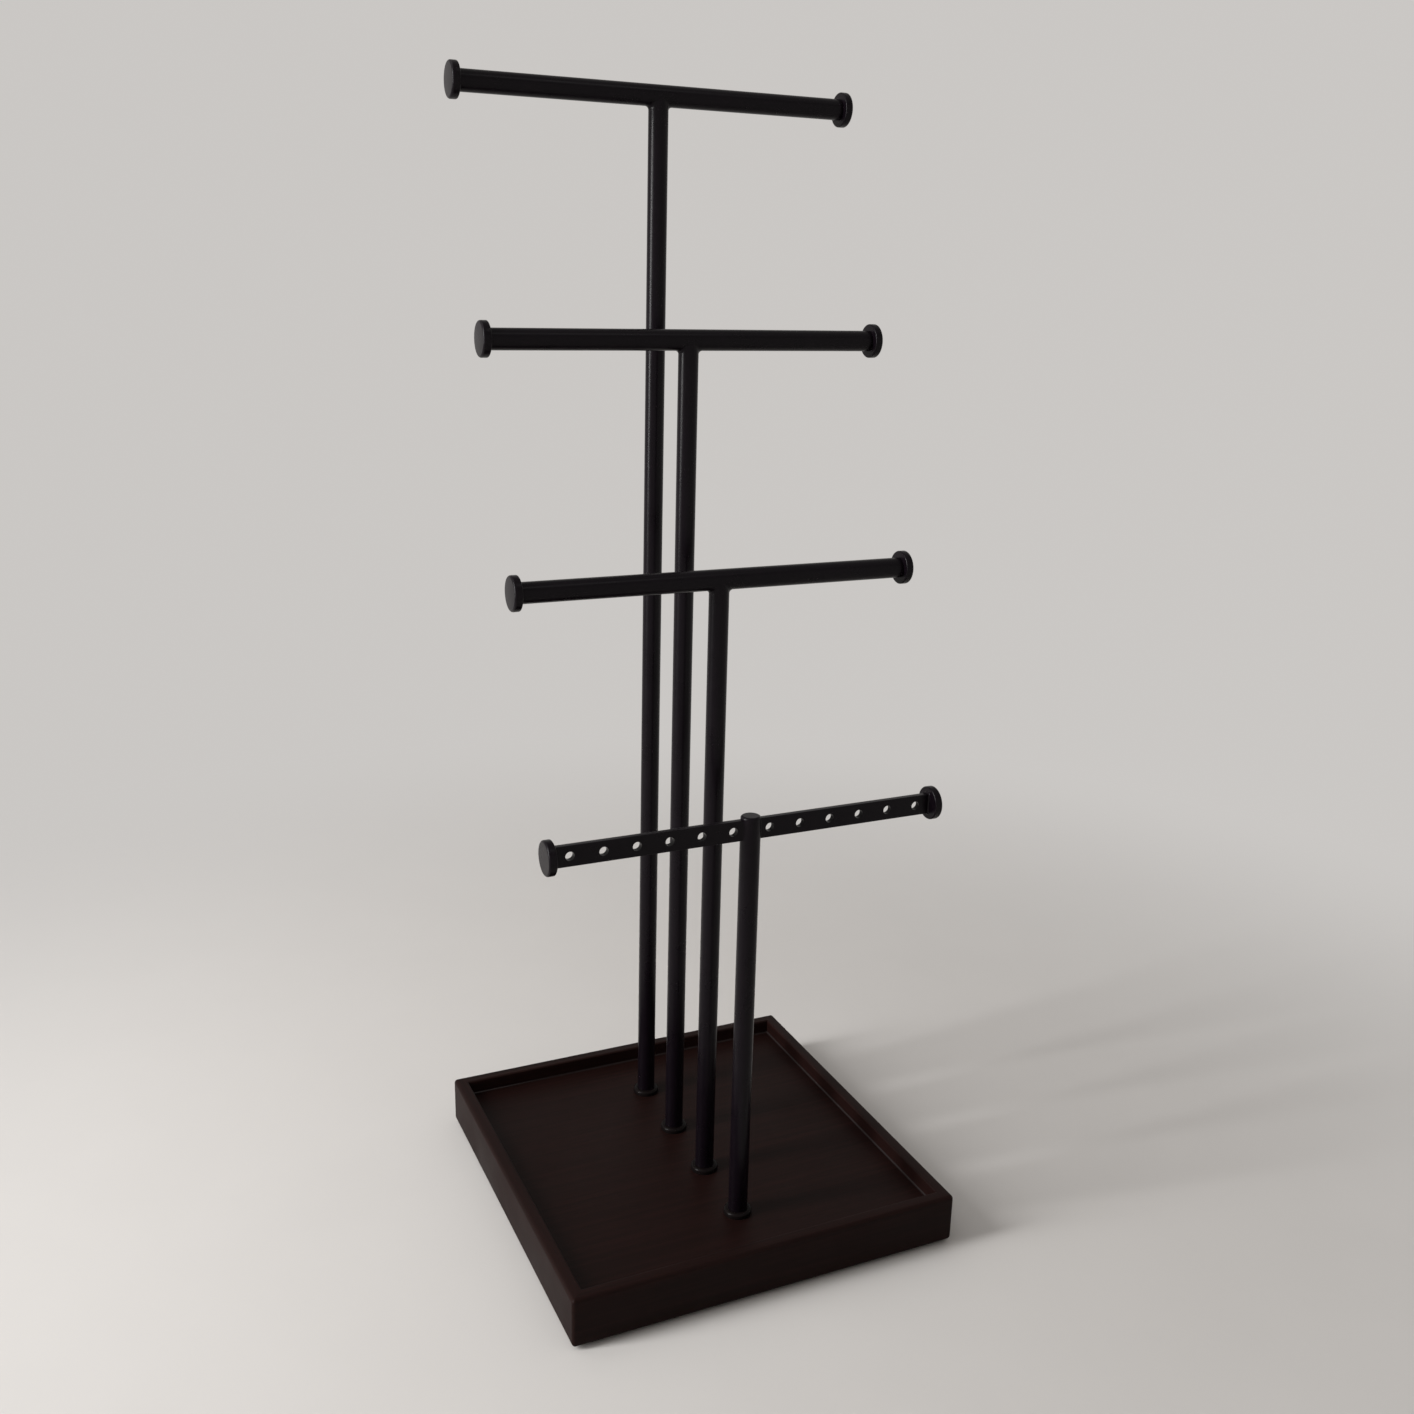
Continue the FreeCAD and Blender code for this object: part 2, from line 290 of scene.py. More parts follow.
@made_once
def stained_lacquered_wood(tree, shader, spots, colours, lie="along"):
    """Close-grained wood, stained dark brown and sprayed with satin lacquer.

    The eye gets narrow straight grain that takes the stain unevenly, small open pores and a level sheen.
    """
    grain_turn = QUARTER_TURN if lie == "across" else 0
    turned_spots = add_node(tree, "ShaderNodeMapping", {"Vector": spots, "Rotation": (0, 0, grain_turn)})
    # Grain streaks are about 90 mm long and 1.6 mm wide, pores 7 mm long and 0.3 mm wide
    streak_size = add_node(tree, "ShaderNodeMapping", {
        "Vector": turned_spots.outputs["Vector"], "Scale": (per_size(90), per_size(1.6), per_size(1.6))})
    pore_size = add_node(tree, "ShaderNodeMapping", {
        "Vector": turned_spots.outputs["Vector"], "Scale": (per_size(7), per_size(0.3), per_size(0.3))})
    streak = add_node(tree, "ShaderNodeTexNoise", {
        "Vector": streak_size.outputs["Vector"], "Scale": 1.0, "Detail": 4.0, "Distortion": 0.4})
    pore = add_node(tree, "ShaderNodeTexNoise", {
        "Vector": pore_size.outputs["Vector"], "Scale": 1.0, "Detail": 1.0})
    haze = add_node(tree, "ShaderNodeTexNoise", {"Vector": spots, "Scale": per_size(35), "Detail": 3.0})
    stain = add_node(tree, "ShaderNodeMapRange", {
        "Value": streak.outputs["Fac"], "From Min": 0.35, "From Max": 0.75})
    open_pore = add_node(tree, "ShaderNodeMapRange", {
        "Value": pore.outputs["Fac"], "From Min": 0.28, "From Max": 0.40})
    grain = add_node(tree, "ShaderNodeMix", {
        MIX_FACTOR: stain.outputs["Result"], MIX_A: opaque(colours.stain), MIX_B: opaque(colours.stain_light),
    }, data_type="RGBA")
    tint = add_node(tree, "ShaderNodeMix", {
        MIX_FACTOR: open_pore.outputs["Result"], MIX_A: opaque(colours.stain, 0.7),
        MIX_B: grain.outputs[MIX_RESULT],
    }, data_type="RGBA")
    gloss = add_node(tree, "ShaderNodeMapRange", {
        "Value": haze.outputs["Fac"], **NOISE_SPAN, "To Min": 0.46, "To Max": 0.56})
    pits = add_node(tree, "ShaderNodeBump", {
        "Height": open_pore.outputs["Result"], "Strength": 0.25, "Distance": 0.05 * MM})
    ridges = add_node(tree, "ShaderNodeBump", {
        "Height": streak.outputs["Fac"], "Strength": 0.20, "Distance": 0.10 * MM,
        "Normal": pits.outputs["Normal"]})
    dress(tree, shader, tint, gloss, ridges)
    shader.inputs["Specular IOR Level"].default_value = 0.07


@made_once
def pooled_lacquer(tree, shader, spots, colours):
    """Lacquer that ran into the tray's inner corners and set.

    The eye gets a gloss in the back left corner, where most of it pooled, and a dull bead elsewhere.
    """
    shade = colours.stain
    pool_length, thinning_length = 25 * MM, 40 * MM
    low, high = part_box("tray_board")
    ripple = add_node(tree, "ShaderNodeTexNoise", {"Vector": spots, "Scale": per_size(6), "Detail": 3.0})
    tint = add_node(tree, "ShaderNodeMix", {
        MIX_FACTOR: ripple.outputs["Fac"], MIX_A: opaque(shade, 0.7), MIX_B: opaque(shade, 1.2),
    }, data_type="RGBA")
    reach = add_node(tree, "ShaderNodeVectorMath", {
        0: spots, 1: (low.x, high.y, high.z)}, operation="DISTANCE")
    gloss = add_node(tree, "ShaderNodeMapRange", {
        "Value": reach.outputs["Value"], "From Min": pool_length,
        "From Max": pool_length + thinning_length, "To Min": 0.18, "To Max": 0.70})
    bump = add_node(tree, "ShaderNodeBump", {
        "Height": ripple.outputs["Fac"], "Strength": 0.2, "Distance": 0.10 * MM})
    dress(tree, shader, tint, gloss, bump)
    shader.inputs["Specular IOR Level"].default_value = 0.25


@made_once
def moulded_gloss_abs(tree, shader, spots, colours):
    """Black ABS moulded in a polished tool: small sharp highlights and a slight waviness in them."""
    shade = colours.collar
    flow = add_node(tree, "ShaderNodeTexNoise", {"Vector": spots, "Scale": per_size(4), "Detail": 2.0})
    tint = add_node(tree, "ShaderNodeMix", {
        MIX_FACTOR: flow.outputs["Fac"], MIX_A: opaque(shade, 0.8), MIX_B: opaque(shade, 1.25),
    }, data_type="RGBA")
    gloss = add_node(tree, "ShaderNodeMapRange", {
        "Value": flow.outputs["Fac"], **NOISE_SPAN, "To Min": 0.24, "To Max": 0.32})
    bump = add_node(tree, "ShaderNodeBump", {
        "Height": flow.outputs["Fac"], "Strength": 0.15, "Distance": 0.08 * MM})
    dress(tree, shader, tint, gloss, bump)
    shader.inputs["Specular IOR Level"].default_value = 0.05


@made_once
def zinc_plated_steel(tree, shader, spots, colours):
    """Bright zinc, plated on turned steel: a cool grey metal with fine tool rings and milky patches."""
    shade = colours.zinc
    patch = add_node(tree, "ShaderNodeTexNoise", {"Vector": spots, "Scale": per_size(3), "Detail": 4.0})
    # Tool rings are near 0.05 mm apart; they are drawn at 0.15 mm so that they show
    ring_size = add_node(tree, "ShaderNodeMapping", {
        "Vector": spots, "Scale": (per_size(2), per_size(2), per_size(0.15))})
    ring = add_node(tree, "ShaderNodeTexNoise", {
        "Vector": ring_size.outputs["Vector"], "Scale": 1.0, "Detail": 1.0})
    tint = add_node(tree, "ShaderNodeMix", {
        MIX_FACTOR: patch.outputs["Fac"], MIX_A: opaque(shade, 0.75), MIX_B: opaque(shade, 1.1),
    }, data_type="RGBA")
    gloss = add_node(tree, "ShaderNodeMapRange", {
        "Value": patch.outputs["Fac"], **NOISE_SPAN, "To Min": 0.24, "To Max": 0.40})
    bump = add_node(tree, "ShaderNodeBump", {
        "Height": ring.outputs["Fac"], "Strength": 0.2, "Distance": 0.02 * MM})
    dress(tree, shader, tint, gloss, bump)
    shader.inputs["Metallic"].default_value = 1.0


@made_once
def closed_cell_eva_foam(tree, shader, spots, colours):
    """Black EVA foam, cut from sheet: a dull surface with small cut cells."""
    shade = colours.foam
    cell = add_node(tree, "ShaderNodeTexVoronoi", {"Vector": spots, "Scale": per_size(0.5)})
    tint = add_node(tree, "ShaderNodeMix", {
        MIX_FACTOR: cell.outputs["Distance"], MIX_A: opaque(shade, 0.5), MIX_B: opaque(shade, 1.3),
    }, data_type="RGBA")
    gloss = add_node(tree, "ShaderNodeMapRange", {
        "Value": cell.outputs["Distance"], "To Min": 0.75, "To Max": 0.95})
    bump = add_node(tree, "ShaderNodeBump", {
        "Height": cell.outputs["Distance"], "Strength": 0.5, "Distance": 0.10 * MM})
    dress(tree, shader, tint, gloss, bump)


@made_once
def matte_painted_board(tree, shader, spots, colours):
    """Matte painted board: lit and shaded near the object, and seen in its own even colour further off."""
    shade = colours.backdrop
    stage = bpy.context.scene.jewelry_tree_stage
    nap = add_node(tree, "ShaderNodeTexNoise", {"Vector": spots, "Scale": per_size(60), "Detail": 2.0})
    tint = add_node(tree, "ShaderNodeMix", {
        MIX_FACTOR: nap.outputs["Fac"], MIX_A: opaque(shade, 0.98), MIX_B: opaque(shade, 1.02),
    }, data_type="RGBA")
    tree.links.new(tint.outputs[MIX_RESULT], shader.inputs["Base Color"])
    shader.inputs["Roughness"].default_value = 0.9
    shader.inputs["Specular IOR Level"].default_value = 0.1
    path = add_node(tree, "ShaderNodeLightPath")
    seen = add_node(tree, "ShaderNodeMath", {
        0: path.outputs["Is Camera Ray"], 1: path.outputs["Is Glossy Ray"]}, operation="MAXIMUM")
    passed = add_node(tree, "ShaderNodeMath", {
        0: seen.outputs["Value"], 1: path.outputs["Is Transmission Ray"]}, operation="MAXIMUM")
    reach = add_node(tree, "ShaderNodeVectorMath", {0: spots}, operation="LENGTH")
    far = add_node(tree, "ShaderNodeMapRange", {
        "Value": reach.outputs["Value"], "From Min": stage.lit_radius, "From Max": stage.even_radius,
    }, interpolation_type="SMOOTHSTEP")
    share = add_node(tree, "ShaderNodeMath", {
        0: passed.outputs["Value"], 1: far.outputs["Result"]}, operation="MULTIPLY")
    even = add_node(tree, "ShaderNodeEmission", {"Color": opaque(shade, stage.backdrop_level)})
    mixed = add_node(tree, "ShaderNodeMixShader", {
        0: share.outputs["Value"], 1: shader.outputs["BSDF"], 2: even.outputs["Emission"]})
    tree.links.new(mixed.outputs["Shader"], tree.nodes["Material Output"].inputs["Surface"])


# Meshes
def arc(x, y, radius, start, end):
    """Points on an arc about (x, y) between two angles in degrees."""
    turns = [math.radians(start + (end - start) * i / ROUND_STEPS) for i in range(ROUND_STEPS + 1)]
    return [(x + radius * math.cos(turn), y + radius * math.sin(turn)) for turn in turns]


def circle(radius, steps=TURN_STEPS):
    """Points on a level circle; a radius of zero gives the one point at its middle."""
    if radius <= 0:
        return [ORIGIN]
    turns = [2 * math.pi * i / steps for i in range(steps)]
    return [Vector((radius * math.cos(turn), radius * math.sin(turn), 0)) for turn in turns]


def skin(bm, rings, closed):
    """Faces between rings of points; a ring of one point is a pole."""
    made = [[bm.verts.new(spot) for spot in ring] for ring in rings]
    following = made[1:] + (made[:1] if closed else [])
    for first, second in zip(made, following):
        count = max(len(first), len(second))
        for i in range(count if count > 1 else 0):
            j = i + 1
            corners = [first[i % len(first)], first[j % len(first)],
                       second[j % len(second)], second[i % len(second)]]
            bm.faces.new(list(dict.fromkeys(corners)))
    return made


def capped(bm, rings):
    """Faces between rings of points and over both ends."""
    made = skin(bm, rings, closed=False)
    bm.faces.new(made[0])
    bm.faces.new(made[-1])


def sheet(bm, rows, closed):
    """Faces between rows of points, which don't close on themselves."""
    made = [[bm.verts.new(spot) for spot in row] for row in rows]
    following = made[1:] + (made[:1] if closed else [])
    for first, second in zip(made, following):
        for corners in zip(first, first[1:], second[1:], second):
            bm.faces.new(corners)
    return made


def turned(outline, base, axis, steps=TURN_STEPS):
    """Rings of an outline of (radius, distance along the axis), turned about the axis through base."""
    tilt = UP.rotation_difference(axis).to_matrix()
    return [[base + tilt @ (spot + UP * along) for spot in circle(radius, steps)]
            for radius, along in outline]


def mesh_of(name, bm):
    """A plain mesh with merged points and outward faces."""
    bmesh.ops.remove_doubles(bm, verts=bm.verts, dist=MERGE_DISTANCE)
    bmesh.ops.recalc_face_normals(bm, faces=bm.faces)
    mesh = bpy.data.meshes.new(name)
    bm.to_mesh(mesh)
    bm.free()
    return mesh


def skin_mesh(name, rings):
    """Mesh of the faces between rings of points, the last of which joins the first."""
    bm = bmesh.new()
    skin(bm, rings, closed=True)
    return mesh_of(name, bm)


def linked(name, data):
    made = bpy.data.objects.new(name, data)
    bpy.context.scene.collection.objects.link(made)
    return made


def evaluated(holder, *helpers):
    """The mesh that an object's modifiers make; the object and its helpers are removed."""
    graph = bpy.context.evaluated_depsgraph_get()
    mesh = bpy.data.meshes.new_from_object(holder.evaluated_get(graph), depsgraph=graph)
    for spent in (holder, *helpers):
        bpy.data.objects.remove(spent)
    return mesh


def add_piece(name, mesh, material, body, slot, *nodes):
    """Shade a mesh, give it its finish and its body, and hide the nodes that it stands for."""
    mesh.shade_smooth()
    mesh.set_sharp_from_angle(angle=CREASE_ANGLE)
    mesh.materials.clear()
    mesh.materials.append(material)
    piece = linked(name, mesh)
    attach(piece, body)
    if nodes:
        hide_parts(*nodes)


def finish_node(node, material):
    """Give a node of the frame, whose shape is right, its finish."""
    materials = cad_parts[node].data.materials
    materials.clear()
    materials.append(material)


def new_geometry_tree(name, inputs):
    """A geometry node tree with named inputs; returns the tree and its input node."""
    tree = bpy.data.node_groups.new(name, "GeometryNodeTree")
    for label, kind in inputs.items():
        tree.interface.new_socket(name=label, in_out="INPUT", socket_type=kind)
    tree.interface.new_socket(name="Geometry", in_out="OUTPUT", socket_type="NodeSocketGeometry")
    return tree, add_node(tree, "NodeGroupInput")


def use_tree(holder, tree, values):
    """Give an object a geometry node tree, with values for its named inputs."""
    modifier = holder.modifiers.new(tree.name, "NODES")
    modifier.node_group = tree
    for item in tree.interface.items_tree:
        if item.item_type == "SOCKET" and item.in_out == "INPUT" and item.name in values:
            modifier[item.identifier] = values[item.name]


# Tray
def rail_outline(sizes, bottom, top):
    """A rail's section as (distance in from the tray's outer face, height)."""
    thick = sizes.rail_thickness
    return ([(thick, bottom)]
            + arc(sizes.rail_foot, bottom + sizes.rail_foot, sizes.rail_foot, 270, 180)
            + arc(sizes.rail_crown, top - sizes.rail_crown, sizes.rail_crown, 180, 90)
            + arc(thick - sizes.rail_inner, top - sizes.rail_inner, sizes.rail_inner, 90, 0))


def rail_row(sizes, half_length, half_depth, inset, height):
    """Points along a front rail at one inset, from mitre to mitre round the soft corners."""
    radius = max(sizes.tray_corner - inset, 0)
    x = half_length - inset - radius
    y = half_depth - inset - radius
    spots = arc(-x, -y, radius, 225, 270) + arc(x, -y, radius, 270, 315)
    return [Vector((spot_x, spot_y, height)) for spot_x, spot_y in spots]


def tray_rail(sizes, half_length, half_depth, bottom, top, turn):
    """Mesh of one mitred rail, made as the front one and turned to its side."""
    rows = [[turn @ spot for spot in rail_row(sizes, half_length, half_depth, inset, height)]
            for inset, height in rail_outline(sizes, bottom, top)]
    bm = bmesh.new()
    made = sheet(bm, rows, closed=True)
    for end in (0, -1):
        bm.faces.new([row[end] for row in made])
    return mesh_of("tray_rail", bm)


def lacquer_bead(sizes, high):
    """Mesh of a hollow bead round the floor's edge, for a board whose upper corner is given."""
    ease = sizes.lacquer_round
    section = arc(ease, ease, ease, 180, 270) + [(0, 0)]
    rings = []
    for inset, rise in section:
        x, y = high.x - inset, high.y - inset
        corners = ((-x, -y), (x, -y), (x, y), (-x, y))
        rings.append([Vector((corner_x, corner_y, high.z + rise)) for corner_x, corner_y in corners])
    return skin_mesh("lacquer_bead", rings)


class JEWELRYTREE_OT_tray(bpy.types.Operator):
    """Make the mitred rails and the lacquer bead inside them, and finish the floor board"""
    bl_idname = "jewelry_tree.tray"
    bl_label = "Tray"

    def execute(self, context):
        sizes = context.scene.jewelry_tree_sizes
        low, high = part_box("tray_rail_front")
        half_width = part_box("tray_rail_right")[1].x
        half_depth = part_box("tray_rail_back")[1].y
        along, across = stained_lacquered_wood(), stained_lacquered_wood("across")
        for quarter, side in enumerate(("front", "right", "back", "left")):
            turn = Matrix.Rotation(quarter * QUARTER_TURN, 3, "Z")
            lengthwise = quarter % 2 == 0
            reach = (half_width, half_depth) if lengthwise else (half_depth, half_width)
            mesh = tray_rail(sizes, *reach, low.z, high.z, turn)
            wood = along if lengthwise else across
            add_piece("rail_" + side, mesh, wood, "tray", "stained_wood", "tray_rail_" + side)
        finish_node("tray_board", along)
        bead = lacquer_bead(sizes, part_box("tray_board")[1])
        add_piece("lacquer_bead", bead, pooled_lacquer(), "tray", "stained_wood")
        return {"FINISHED"}


class JEWELRYTREE_OT_foot_pads(bpy.types.Operator):
    """Set a foam pad under each corner of the tray"""
    bl_idname = "jewelry_tree.foot_pads"
    bl_label = "Foot pads"

    def execute(self, context):
        sizes = context.scene.jewelry_tree_sizes
        size = size_of("foot_pad_front_left")
        spread = centre_of("foot_pad_back_right") - centre_of("foot_pad_front_left")
        radius, ease = size.x / 2, sizes.pad_round
        outline = [(0, 0)] + arc(radius - ease, ease, ease, 270, 360) + [(radius, size.z), (0, size.z)]
        pad = linked("pad_shape", skin_mesh("pad_shape", turned(outline, ORIGIN, UP)))
        tree, given = new_geometry_tree("foot_pads", {
            "Geometry": "NodeSocketGeometry", "Pad": "NodeSocketObject", "Width": "NodeSocketFloat",
            "Depth": "NodeSocketFloat", "Finish": "NodeSocketMaterial"})
        grid = add_node(tree, "GeometryNodeMeshGrid", {
            "Size X": given.outputs["Width"], "Size Y": given.outputs["Depth"],
            "Vertices X": 2, "Vertices Y": 2})
        shape = add_node(tree, "GeometryNodeObjectInfo", {"Object": given.outputs["Pad"]})
        placed = add_node(tree, "GeometryNodeInstanceOnPoints", {
            "Points": grid.outputs["Mesh"], "Instance": shape.outputs["Geometry"]})
        real = add_node(tree, "GeometryNodeRealizeInstances", {"Geometry": placed.outputs["Instances"]})
        finished = add_node(tree, "GeometryNodeSetMaterial", {
            "Geometry": real.outputs["Geometry"], "Material": given.outputs["Finish"]})
        add_node(tree, "NodeGroupOutput", {"Geometry": finished.outputs["Geometry"]})
        holder = linked("pad_holder", bpy.data.meshes.new("pad_holder"))
        use_tree(holder, tree, {
            "Pad": pad, "Width": spread.x, "Depth": spread.y, "Finish": closed_cell_eva_foam()})
        nodes = ["foot_pad_" + row + "_" + side for row in ("front", "back") for side in SIDES]
        add_piece("foot_pads", evaluated(holder, pad), closed_cell_eva_foam(), "tray", "foam_pad", *nodes)
        return {"FINISHED"}


# Posts and crossbars
def weld_rings(sizes, post_radius, bar_radius, middle):
    """Rings of a weld: a ball rolls round the corner between an upright post and a level bar."""
    ball = sizes.weld_round
    share = bar_radius / (bar_radius + ball)
    rings = [[] for _ in range(ROUND_STEPS + 1)]
    for spot in circle(post_radius + ball):
        drop = math.sqrt((bar_radius + ball) ** 2 - spot.y ** 2)
        centre = spot - UP * drop
        on_post = spot * (post_radius / (post_radius + ball)) - UP * drop
        on_bar = Vector((spot.x, spot.y * share, -drop * share))
        for i, ring in enumerate(rings):
            reach = (on_post - centre).slerp(on_bar - centre, i / ROUND_STEPS)
            ring.append(middle + centre + reach * ball)
    return rings


def crossbar_post(sizes, tier):
    """Mesh of a tube that ends in a saddle and a weld under its bar."""
    middle = centre_of(tier + "_crossbar")
    bar_radius = size_of(tier + "_crossbar").z / 2
    low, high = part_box(tier + "_collar")
    post_radius = (high.x - low.x) / 2 - sizes.collar_wall - sizes.collar_gap
    bore = post_radius - sizes.tube_wall
    foot = Vector((middle.x, middle.y, low.z))
    saddle = []
    for spot in circle(bore):
        saddle.append(middle + spot - UP * math.sqrt(bar_radius ** 2 - spot.y ** 2))
    rings = [[foot + spot for spot in circle(post_radius)]]
    rings += weld_rings(sizes, post_radius, bar_radius, middle)
    rings += [saddle, [foot + spot for spot in circle(bore)]]
    return skin_mesh("post", rings)


class JEWELRYTREE_OT_posts(bpy.types.Operator):
    """Make the three posts that carry a crossbar and finish the slotted front post"""
    bl_idname = "jewelry_tree.posts"
    bl_label = "Posts"

    def execute(self, context):
        sizes = context.scene.jewelry_tree_sizes
        for tier in BAR_TIERS:
            mesh = crossbar_post(sizes, tier)
            add_piece("post_" + tier, mesh, powder_coated_steel(), tier + "_tier", "powder_coat",
                      tier + "_post")
        finish_node("earring_post", powder_coated_steel())
        finish_node("earring_post_plug", powder_coated_steel())
        return {"FINISHED"}


class JEWELRYTREE_OT_crossbars(bpy.types.Operator):
    """Make the three round crossbars"""
    bl_idname = "jewelry_tree.crossbars"
    bl_label = "Crossbars"

    def execute(self, context):
        sizes = context.scene.jewelry_tree_sizes
        ease = sizes.tube_deburr
        for tier in BAR_TIERS:
            size = size_of(tier + "_crossbar")
            radius, reach = size.z / 2, size.x / 2
            bore = radius - sizes.tube_wall
            outline = [(bore, -reach), (radius - ease, -reach), (radius, ease - reach),
                       (radius, reach - ease), (radius - ease, reach), (bore, reach)]
            mesh = skin_mesh("crossbar", turned(outline, centre_of(tier + "_crossbar"), ALONG))
            add_piece("crossbar_" + tier, mesh, powder_coated_steel(), tier + "_tier", "powder_coat",
                      tier + "_crossbar")
        return {"FINISHED"}


class JEWELRYTREE_OT_end_caps(bpy.types.Operator):
    """Make the round end caps of the crossbars and finish those of the strip"""
    bl_idname = "jewelry_tree.end_caps"
    bl_label = "End caps"

    def execute(self, context):
        sizes = context.scene.jewelry_tree_sizes
        thick, outer, inner = sizes.cap_thickness, sizes.cap_outer_round, sizes.cap_inner_round
        for tier in BAR_TIERS:
            bore = size_of(tier + "_crossbar").z / 2 - sizes.tube_wall
            for side, sign in SIDES.items():
                node = tier + "_end_cap_" + side
                size, middle = size_of(node), centre_of(node)
                radius, spigot, lead = size.z / 2, size.x - thick, sizes.spigot_chamfer
                outline = ([(0, -spigot), (bore - lead, -spigot), (bore, lead - spigot), (bore, 0)]
                           + arc(radius - inner, inner, inner, 270, 360)
                           + arc(radius - outer, thick - outer, outer, 0, 90)
                           + [(0, thick)])
                base = middle + ALONG * sign * (size.x / 2 - thick)
                mesh = skin_mesh("cap", turned(outline, base, ALONG * sign))
                add_piece("cap_" + tier + "_" + side, mesh, powder_coated_steel(), tier + "_tier",
                          "powder_coat", node)
        for side in SIDES:
            finish_node("earring_end_cap_" + side, powder_coated_steel())
        return {"FINISHED"}


# Earring strip
class StripShape:
    """The strip's section and one length of it with a hole, about the strip's middle."""

    def __init__(self, sizes, size):
        self.edge, self.ease = sizes.strip_edge, sizes.hole_ease
        self.half_thick = size.y / 2
        self.flat = size.z / 2 - self.edge
        self.half_pitch = sizes.hole_pitch / 2
        self.hole = sizes.hole_diameter / 2
        self.corner = math.atan2(self.flat, self.half_pitch)

    def crown(self, x, side):
        """Points over the strip's upper or lower edge at one place along it, from front to back."""
        start = self.edge - self.half_thick
        spots = arc(start, self.flat, self.edge, 180, 90) + arc(-start, self.flat, self.edge, 90, 0)
        return [Vector((x, y, side * z)) for y, z in spots]

    def turns(self):
        """Angles round a hole, with one through each corner of the length that it is in."""
        stops = [-self.corner, self.corner, math.pi - self.corner, math.pi + self.corner,
                 2 * math.pi - self.corner]
        counts = [2 * SIDE_STEPS, 2 * FACE_STEPS] * 2
        found = []
        for start, end, count in zip(stops, stops[1:], counts):
            found += [start + (end - start) * i / count for i in range(count)]
        return found

    def face_spot(self, turn):
        """Where a line from the hole's middle leaves the flat face."""
        across = abs(math.cos(turn)) / self.half_pitch
        upward = abs(math.sin(turn)) / self.flat
        reach = 1 / max(across, upward)
        return reach * math.cos(turn), reach * math.sin(turn)

    def section(self, x):
        """The closed outline of the plain strip, with points where a length with a hole has them."""
        heights = [self.half_pitch * math.tan(self.corner * i / SIDE_STEPS)
                   for i in range(-SIDE_STEPS, SIDE_STEPS + 1)]
        front = [Vector((x, -self.half_thick, height)) for height in heights]
        back = [Vector((x, self.half_thick, height)) for height in reversed(heights)]
        return front[:-1] + self.crown(x, 1) + back[1:-1] + self.crown(x, -1)[::-1][:-1]

    def holed_length(self):
        """Mesh of one pitch of the strip, open at both ends, with a hole that has soft rims."""
        turns = self.turns()
        rims = arc(self.hole + self.ease, self.ease - self.half_thick, self.ease, 270, 180)
        rims += arc(self.hole + self.ease, self.half_thick - self.ease, self.ease, 180, 90)
        outer = [self.face_spot(turn) for turn in turns]
        rings = [[Vector((x, -self.half_thick, z)) for x, z in outer]]
        for radius, y in rims:
            rings.append([Vector((radius * math.cos(turn), y, radius * math.sin(turn))) for turn in turns])
        rings.append([Vector((x, self.half_thick, z)) for x, z in outer])
        bm = bmesh.new()
        skin(bm, rings, closed=False)
        along = sorted(x for x, z in outer if z > self.flat - MERGE_DISTANCE)
        for side in (-1, 1):
            sheet(bm, [self.crown(x, side) for x in along], closed=False)
        return mesh_of("holed_length", bm)

    def plain_lengths(self, middle_reach, end_start, end_reach):
        """Mesh of the plain lengths: one inside the post, and one with a closed end in each cap."""
        bm = bmesh.new()
        skin(bm, [self.section(-middle_reach), self.section(middle_reach)], closed=False)
        for side in (-1, 1):
            rings = skin(bm, [self.section(side * end_start), self.section(side * end_reach)], closed=False)
            bm.faces.new(rings[-1])
        return mesh_of("plain_lengths", bm)


def perforation_tree():
    """Geometry nodes that set a row of holed lengths on each side of the post and join the plain ones."""
    tree, given = new_geometry_tree("earring_perforations", {
        "Geometry": "NodeSocketGeometry", "Holed length": "NodeSocketObject",
        "Holes each side": "NodeSocketInt", "Pitch": "NodeSocketFloat", "Middle gap": "NodeSocketFloat",
        "Strip middle": "NodeSocketVector", "Merge distance": "NodeSocketFloat",
        "Finish": "NodeSocketMaterial"})
    half = add_node(tree, "ShaderNodeMath", {0: given.outputs["Middle gap"], 1: 0.5}, operation="MULTIPLY")
    start = add_node(tree, "ShaderNodeCombineXYZ", {"X": half.outputs["Value"]})
    step = add_node(tree, "ShaderNodeCombineXYZ", {"X": given.outputs["Pitch"]})
    row = add_node(tree, "GeometryNodeMeshLine", {
        "Count": given.outputs["Holes each side"], "Start Location": start.outputs["Vector"],
        "Offset": step.outputs["Vector"]})
    mirrored = add_node(tree, "GeometryNodeTransform", {
        "Geometry": row.outputs["Mesh"], "Rotation": (0, 0, math.pi)})
    places = add_node(tree, "GeometryNodeJoinGeometry", {
        "Geometry": [row.outputs["Mesh"], mirrored.outputs["Geometry"]]})
    shape = add_node(tree, "GeometryNodeObjectInfo", {"Object": given.outputs["Holed length"]})
    placed = add_node(tree, "GeometryNodeInstanceOnPoints", {
        "Points": places.outputs["Geometry"], "Instance": shape.outputs["Geometry"]})
    whole = add_node(tree, "GeometryNodeJoinGeometry", {
        "Geometry": [placed.outputs["Instances"], given.outputs["Geometry"]]})
    moved = add_node(tree, "GeometryNodeTransform", {
        "Geometry": whole.outputs["Geometry"], "Translation": given.outputs["Strip middle"]})
    real = add_node(tree, "GeometryNodeRealizeInstances", {"Geometry": moved.outputs["Geometry"]})
    merged = add_node(tree, "GeometryNodeMergeByDistance", {
        "Geometry": real.outputs["Geometry"], "Distance": given.outputs["Merge distance"]})
    finished = add_node(tree, "GeometryNodeSetMaterial", {
        "Geometry": merged.outputs["Geometry"], "Material": given.outputs["Finish"]})
    add_node(tree, "NodeGroupOutput", {"Geometry": finished.outputs["Geometry"]})
    return tree


